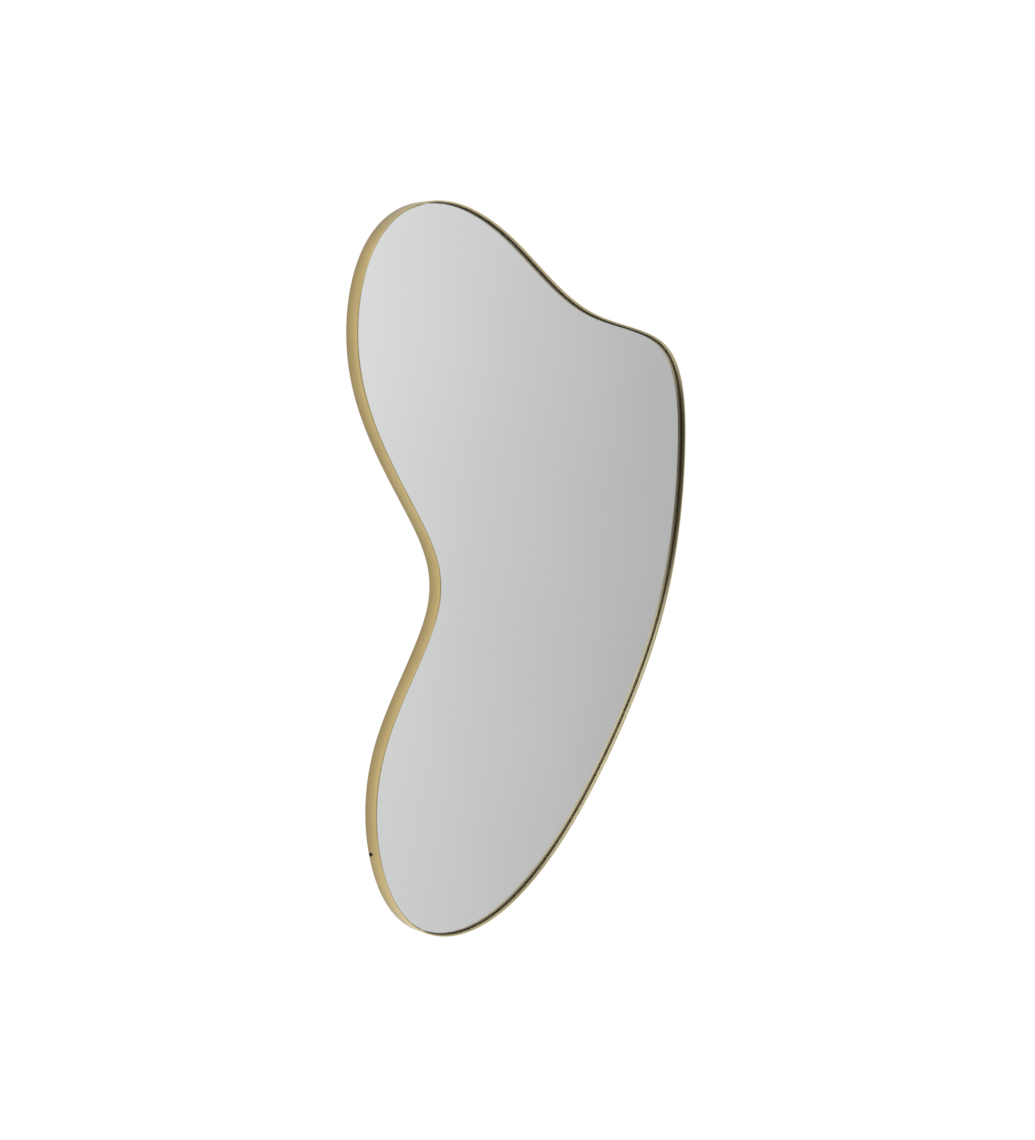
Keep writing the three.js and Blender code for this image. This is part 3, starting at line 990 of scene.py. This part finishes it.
def bent_sheet(name: str, grid: np.ndarray, thickness: float, material: Material) -> Object:
    """A metal sheet as a closed shell, from its middle surface.

    Both faces lie half the thickness from the middle surface, along its normal, which is the
    cross product of the grid's two directions. A rim of quads joins their four edges.

    Args:
        name: the piece's name.
        grid: the middle surface: rows, columns, xyz.
        thickness: the sheet's thickness.
        material: its finish.

    Returns:
        The sheet.
    """
    normal = np.cross(np.gradient(grid, axis=0), np.gradient(grid, axis=1))
    normal /= np.maximum(np.linalg.norm(normal, axis=-1, keepdims=True), 1e-12)
    rows, columns = grid.shape[:2]
    half = thickness / 2
    points = np.concatenate([grid + normal * half, grid - normal * half]).reshape(-1, 3)
    size = rows * columns
    front = grid_faces(rows, columns, False, False)
    number = np.arange(size).reshape(rows, columns)
    sides = [number[:-1, 0], number[-1, :-1], number[:0:-1, -1], number[0, :0:-1]]
    border = np.concatenate(sides)
    following = np.roll(border, -1)
    rim = np.stack([border, border + size, following + size, following], 1)
    shell = Shell(points, [front, front[:, ::-1] + size, rim[:, ::-1]])
    return shell.build(name, [material], sharp_deg=40.0)


def smoothed(line: np.ndarray, reach: int) -> np.ndarray:
    """A line with each point averaged over its neighbours, its two ends kept.

    Args:
        line: points along the line, evenly spaced.
        reach: how many neighbours on each side count.

    Returns:
        The smoothed points.
    """
    padded = np.concatenate([np.repeat(line[:1], reach, 0), line, np.repeat(line[-1:], reach, 0)])
    width = 2 * reach + 1
    total = np.cumsum(np.concatenate([np.zeros((1, line.shape[1])), padded]), axis=0)
    result = (total[width:] - total[:-width]) / width
    result[0], result[-1] = line[0], line[-1]
    return result


def evenly(line: np.ndarray, count: int) -> np.ndarray:
    """A polyline resampled to evenly spaced points.

    Args:
        line: the polyline's points.
        count: how many points come back.

    Returns:
        The new points, from the first end to the last.
    """
    length = reached(line)
    places = np.linspace(0, length[-1], count)
    return np.stack([np.interp(places, length, axis) for axis in line.T], 1)


@dataclass(frozen=True)
class AngleClips:
    """The six steel angles, spot-welded inside the band, whose feet hold the board."""

    outline: Outline
    count: int = 6
    first_share: float = 0.04
    thickness: float = 1.0 * MM
    width: float = 22.0 * MM
    outer_inset: float = 2.8 * MM
    foot: float = 18.0 * MM
    toe_radius: float = 4.0 * MM
    bend_reach: int = 5
    rows: int = 96
    columns: int = 13

    def middle(self, share: float, low_y: float, high_y: float) -> np.ndarray:
        """The middle surface of an angle: a strip bent once, that follows the outline's curve.

        Down the strip runs the path of inset and y from the leg's end to the foot's toe, with its
        corner averaged round. Across it runs a stretch of the outline, narrowed at the toe by the
        height of two quarter circles.

        Args:
            share: the clip's place on the outline.
            low_y: y of the leg's end.
            high_y: y of the foot's rear face.

        Returns:
            A grid of points: rows, columns, xyz.
        """
        half = self.thickness / 2
        inset, toe = self.outer_inset + half, self.outer_inset + self.foot
        path = np.array([(inset, low_y), (inset, high_y - half), (toe, high_y - half)])
        path = smoothed(evenly(path, self.rows), self.bend_reach)
        left = np.maximum(path[:, 0] - (toe - self.toe_radius), 0.0)
        cut = self.toe_radius - np.sqrt(np.maximum(self.toe_radius**2 - left**2, 0.0))
        spread = np.linspace(-1, 1, self.columns)[None, :]
        reach = (self.width / 2 - cut)[:, None] * spread
        base, outward = self.outline.at((share + reach / self.outline.perimeter()).ravel())
        plan = base - outward * np.repeat(path[:, :1], self.columns, 0)
        y = np.repeat(path[:, 1], self.columns)
        return point_grid(plan[:, 0], y, plan[:, 1]).reshape(self.rows, -1, 3)

    def build(self, materials: Materials) -> None:
        """Builds the angles, evenly spaced round the outline.

        Args:
            materials: the finishes.
        """
        for i in range(self.count):
            name = f"rim_clip_{i + 1}"
            low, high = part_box(name)
            grid = self.middle(self.first_share + i / self.count, low.y, high.y)
            piece = bent_sheet(f"angle_clip_{i + 1}", grid, self.thickness, materials[Finish.ZINC])
            stand_for(piece, name, Body.MIRROR, Slot.ZINC)


# --- hangers ---


@dataclass(frozen=True)
class Hanger:
    """One strap hanger: a steel strap folded round the bar of a wire D-ring."""

    side: Side
    pivot: Triple
    wire: float = 2.5 * MM
    inner_width: float = 19.0 * MM
    reach: float = 16.0 * MM
    corner: float = 3.0 * MM
    end_gap: float = 0.4 * MM
    lean_deg: float = 4.66
    clearance: float = 0.3 * MM
    thickness: float = 1.0 * MM
    width: float = 13.0 * MM
    length: float = 31.0 * MM
    fold_gap: float = 0.2 * MM
    tip_share: float = 0.9995  # of the length, where the strap's half disc is all but closed
    corner_steps: int = 8
    bow_steps: int = 40
    ring_rows: int = 160
    wire_sides: int = 24
    strap_rows: int = 301
    strap_columns: int = 15
    bend_reach: int = 2

    def wire_line(self) -> np.ndarray:
        """The wire's middle line in the ring's own plane, from one end round to the other.

        The bar lies on the first axis, with a small bend up at each end, two straight legs and a
        half circle for the bow.

        Returns:
            Points as distance along the bar and distance from it.
        """
        half = (self.inner_width + self.wire) / 2
        r, steps = self.corner, self.corner_steps
        parts = [
            [(self.end_gap / 2, 0.0)],
            arc((half - r, r), r, -90, 0, steps),
            arc((0.0, self.reach - half), half, 0, 180, self.bow_steps),
            arc((r - half, r), r, 180, 270, steps),
            [(-self.end_gap / 2, 0.0)],
        ]
        return np.concatenate(parts)

    def build_ring(self, material: Material) -> None:
        """Builds the D-ring: a circle carried along the wire's line, leaning on the board.

        Args:
            material: its finish.
        """
        line = evenly(self.wire_line(), self.ring_rows)
        along = np.gradient(line, axis=0)
        along /= np.linalg.norm(along, axis=1, keepdims=True)
        beside = np.stack([along[:, 1], -along[:, 0]], 1)
        angle = full_turn(self.wire_sides)
        plane = line[:, None] + beside[:, None] * (self.wire / 2 * np.cos(angle))[None, :, None]
        lift = self.wire / 2 * np.sin(angle)
        lean = math.radians(self.lean_deg)
        up, over, out = math.cos(lean), math.sin(lean), plane[..., 1]
        grid = point_grid(plane[..., 0], lift * up - out * over, lift * over + out * up)
        side = self.side.value
        piece = capped(grid + self.pivot).build(f"d_ring_{side}", [material], sharp_deg=50.0)
        stand_for(piece, f"hanger_ring_{side}", Body(f"ring_{side}"), Slot.ZINC)

    def build_strap(self, material: Material) -> None:
        """Builds the strap: one strip that runs up the board, round the bar and down again.

        Its line is the side view's path at the middle of the metal, averaged where it turns off
        the eye. Its half width is the strap's own, and that of a half disc at the lower end.

        Args:
            material: its finish.
        """
        x, y, z = self.pivot
        eye = self.wire / 2 + self.clearance + self.thickness / 2
        inner = y - eye
        outer = inner + self.thickness + self.fold_gap
        turn_off = math.degrees(math.acos((outer - y) / eye))
        tip = z - self.length * self.tip_share
        round_bar = arc((y, z), eye, 180, -turn_off, self.bow_steps)
        path = np.concatenate([[(inner, tip)], round_bar, [(outer, tip)]])
        path = smoothed(evenly(path, self.strap_rows), self.bend_reach)
        half = self.width / 2
        below = np.maximum(z - self.length + half - path[:, 1], 0.0)
        reach = np.sqrt(np.maximum(half**2 - below**2, 0.0))
        spread = np.linspace(-1, 1, self.strap_columns)
        grid = point_grid(x + reach[:, None] * spread[None, :], path[:, :1], path[:, 1:])
        side = self.side.value
        piece = bent_sheet(f"folded_strap_{side}", grid, self.thickness, material)
        stand_for(piece, f"hanger_strap_{side}", Body.MIRROR, Slot.ZINC)

    def build(self, materials: Materials) -> None:
        """Builds the strap and its ring."""
        self.build_strap(materials[Finish.ZINC])
        self.build_ring(materials[Finish.ZINC])


# --- bumpers ---


@dataclass(frozen=True)
class Bumpers:
    """The four rubber bumpers on the board's back, low cones with a rounded top."""

    count: int = 4
    top: float = 13.0 * MM
    edge_radius: float = 1.2 * MM
    foot_chamfer: Pair = (0.3 * MM, 0.3 * MM)  # in and up, at the edge of the base
    foot_inset: float = 0.1 * MM
    around: int = 64
    edge_steps: int = 6

    def build(self, materials: Materials) -> None:
        """Builds each bumper as a surface of revolution round its axis.

        The profile runs from the base's edge up the cone, round a quarter circle and in over the
        top. Flat faces close both ends.

        Args:
            materials: the finishes.
        """
        for i in range(1, self.count + 1):
            name = f"wall_bumper_{i}"
            low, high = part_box(name)
            base, top, r = (high.x - low.x) / 2 - self.foot_inset, self.top / 2, self.edge_radius
            shoulder = arc((top - r, high.y - r), r, 0, 90, self.edge_steps)
            step_in, step_up = self.foot_chamfer
            foot = [(base - step_in, low.y), (base, low.y + step_up)]
            profile = np.concatenate([foot, shoulder, [(top - 2 * r, high.y)]])
            turn = full_turn(self.around)
            x = (low.x + high.x) / 2 + profile[:, :1] * np.cos(turn)
            z = (low.z + high.z) / 2 + profile[:, :1] * np.sin(turn)
            shell = capped(point_grid(x, profile[:, 1:], z))
            piece = shell.build(f"rubber_bumper_{i}", [materials[Finish.RUBBER]], sharp_deg=50.0)
            stand_for(piece, name, Body.MIRROR, Slot.RUBBER)


@dataclass(frozen=True)
class Backing:
    """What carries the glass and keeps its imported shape: the fibreboard and the foam tape."""

    board: str = "backing_board"
    strips: tuple[str, ...] = tuple(f"tape_strip_{i}" for i in range(1, 8))

    def dress(self, nodes: Mapping[str, Object], materials: Materials) -> None:
        """Gives the board and each strip its finish.

        Args:
            nodes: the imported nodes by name.
            materials: the finishes.
        """
        dress(nodes[self.board], materials[Finish.BOARD])
        for strip in self.strips:
            dress(nodes[strip], materials[Finish.FOAM])


# --- studio ---


@dataclass(frozen=True)
class Softbox:
    """A square studio lamp with a diffuser."""

    name: str
    place: Triple
    target: Triple
    side: float
    power: float

    def build(self) -> None:
        """Builds the lamp, aimed at its target."""
        light = bpy.data.lights.new(self.name, "AREA")
        light.shape = "SQUARE"
        light.size = self.side
        light.energy = self.power
        lamp = bpy.data.objects.new(self.name, light)
        bpy.context.scene.collection.objects.link(lamp)
        lamp.location = self.place
        aim = Vector(self.target) - Vector(self.place)
        lamp.rotation_euler = aim.to_track_quat("-Z", "Y").to_euler()


@dataclass(frozen=True)
class Camera:
    """A camera that stands at the photograph's place and looks at the mirror."""

    azimuth_deg: float = -46.0
    elevation_deg: float = 7.0
    distance: float = 2.5362
    target: Triple = (-0.0269, -0.0300, -0.2576)
    lens_mm: float = 50.0
    clip_end: float = 100.0

    def build(self) -> None:
        """Builds the camera and makes it the scene's own."""
        azimuth, elevation = math.radians(self.azimuth_deg), math.radians(self.elevation_deg)
        level = math.cos(elevation)
        across, forward = math.sin(azimuth) * level, -math.cos(azimuth) * level
        back = Vector((across, forward, math.sin(elevation)))
        lens = bpy.data.cameras.new("photo_camera")
        lens.lens = self.lens_mm
        lens.clip_end = self.clip_end
        camera = bpy.data.objects.new("photo_camera", lens)
        bpy.context.scene.collection.objects.link(camera)
        camera.location = Vector(self.target) + back * self.distance
        camera.rotation_euler = (-back).to_track_quat("-Z", "Y").to_euler()
        bpy.context.scene.camera = camera


@dataclass(frozen=True)
class Surroundings:
    """The studio round the mirror, as light by direction: what its glass and brass show.

    Bearings are in degrees from straight in front of the mirror, positive to the viewer's right.
    """

    stops: tuple[Pair, ...] = (
        (-180, 0.85), (-135, 0.98), (-90, 0.90), (-45, 0.70), (-10, 0.45), (12, 0.50),
        (30, 1.03), (41, 0.787), (51, 0.525), (62, 0.37), (90, 0.36), (120, 0.65), (180, 0.85),
    )
    rise: float = 0.40  # how much brighter straight up, and darker straight down, in front
    flag: Triple = (-0.79, -0.61, -0.02)  # direction of a dark flag beside the camera
    flag_reach_deg: Pair = (8.0, 30.0)  # where its shade starts to fade, and ends
    flag_level: float = 0.08

    def build(self) -> None:
        """Sets the world: plain white to the camera, the studio's light to everything else."""
        world = bpy.data.worlds.new("studio")
        world.use_nodes = True
        tree = world.node_tree
        tree.nodes.clear()
        way = add_node(tree, "TexCoord").outputs["Generated"]
        split = add_node(tree, "SeparateXYZ", {"Vector": way})
        front = add_node(tree, "Math", {0: split.outputs["Y"], 1: -1.0}, operation="MULTIPLY")
        bearing = add_node(tree, "Math", {0: split.outputs["X"], 1: front}, operation="ARCTAN2")
        span = {"Value": bearing, "From Min": -math.pi, "From Max": math.pi}
        turn = add_node(tree, "MapRange", span)
        stops = [((bearing_deg + 180) / 360, grey(value)) for bearing_deg, value in self.stops]
        level = add_node(tree, "ValToRGB", {"Fac": turn}, stops)
        level.color_ramp.interpolation = "B_SPLINE"
        ahead = add_node(tree, "Math", {0: front, 1: 0.0}, operation="MAXIMUM")
        raised = add_node(tree, "Math", {0: ahead, 1: split.outputs["Z"]}, operation="MULTIPLY")
        lift = {0: raised, 1: self.rise, 2: 1.0}
        height = add_node(tree, "Math", lift, operation="MULTIPLY_ADD")
        both = {0: way, 1: Vector(self.flag).normalized()}
        toward = add_node(tree, "VectorMath", both, operation="DOT_PRODUCT")
        start, end = (math.cos(math.radians(angle)) for angle in self.flag_reach_deg)
        span = {"From Min": end, "From Max": start, "To Min": 1.0, "To Max": self.flag_level}
        fade = {"Value": toward, **span}
        shade = add_node(tree, "MapRange", fade, interpolation_type="SMOOTHSTEP")
        strength = add_node(tree, "Math", {0: height, 1: shade}, operation="MULTIPLY")
        studio = add_node(tree, "Background", {"Color": level, "Strength": strength})
        white = add_node(tree, "Background", {"Color": grey(1.0)})
        seen = add_node(tree, "LightPath").outputs["Is Camera Ray"]
        shown = add_node(tree, "MixShader", {0: seen, 1: studio, 2: white})
        add_node(tree, "OutputWorld", {"Surface": shown})
        bpy.context.scene.world = world


@dataclass(frozen=True)
class Floor:
    """A plain pale round floor below the mirror, which fades out at its rim."""

    height: float = -1.75
    radius: float = 2.2
    solid_radius: float = 1.2
    first_radius: float = 0.02
    colour: str = "#E9E9E7"
    fill: float = 0.42
    rings: int = 12
    around: int = 96

    def material(self) -> Material:
        """Builds the floor's paint.

        It adds enough of its own white to blend with the white background where no shadow falls.
        From the solid part to the rim it fades by distance from the middle.

        Returns:
            The material.
        """
        material, tree = new_material("studio_floor")
        place = add_node(tree, "TexCoord").outputs["Object"]
        away = add_node(tree, "VectorMath", {0: place}, operation="LENGTH")
        span = {"Value": away, "From Min": self.solid_radius, "From Max": self.radius}
        fade = add_node(tree, "MapRange", span, interpolation_type="SMOOTHSTEP")
        paint = add_node(tree, "BsdfDiffuse", {"Color": linear(self.colour)})
        white = add_node(tree, "Emission", {"Strength": self.fill})
        lit = add_node(tree, "AddShader", {0: paint, 1: white})
        clear = add_node(tree, "BsdfTransparent")
        return finished(material, add_node(tree, "MixShader", {0: fade, 1: lit, 2: clear}))

    def build(self) -> None:
        """Builds the floor as a disc of rings, part of the stage."""
        turn = full_turn(self.around)
        radius = np.linspace(self.first_radius, self.radius, self.rings)[:, None]
        points = point_grid(radius * np.cos(turn), radius * np.sin(turn), 0.0).reshape(-1, 3)
        middle = np.arange(self.around)[None, ::-1]
        shell = Shell(points, [grid_faces(self.rings, self.around, False, True), middle])
        floor = shell.build("floor", [self.material()])
        floor.location = (0.0, 0.0, self.height)


@dataclass(frozen=True)
class Studio:
    """Camera, lamps, surroundings and floor."""

    lamps: tuple[Softbox, ...] = (
        Softbox("key_softbox", (-1.5, -2.3, 2.3), (0.0, 0.0, -0.3), 2.2, 13.0),
        Softbox("fill_softbox", (2.4, -1.6, 2.2), (0.0, 0.0, -0.3), 2.0, 10.0),
        Softbox("back_softbox", (2.7, 1.6, 1.9), (0.0, 0.0, -0.3), 2.0, 14.0),
    )

    def build(self) -> None:
        """Sets up the studio and the plain view transform."""
        Camera().build()
        for lamp in self.lamps:
            lamp.build()
        Surroundings().build()
        Floor().build()
        bpy.context.scene.view_settings.view_transform = "Standard"


# --- main ---


def main() -> None:
    """Builds the mirror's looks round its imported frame, piece by piece."""
    logging.basicConfig(level=logging.INFO, format="%(name)s: %(message)s")
    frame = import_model()
    Studio().build()
    materials = {finish: finish.value.build() for finish in Finish}
    low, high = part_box("rim_band")
    outline = Outline((low.x, low.z), (high.x, high.z))
    hangers = (
        Hanger(side, tuple(joint["pos_m"])) for joint, side in zip(frame["joints"], Side)
    )
    for pieces in (
        Band(outline),
        MirrorSheet(outline),
        SideScrews(outline),
        AngleClips(outline),
        BackScrews(),
        Bumpers(),
        *hangers,
    ):
        pieces.build(materials)
    Backing().dress(frame["nodes"], materials)


if __name__ == "__main__":
    main()
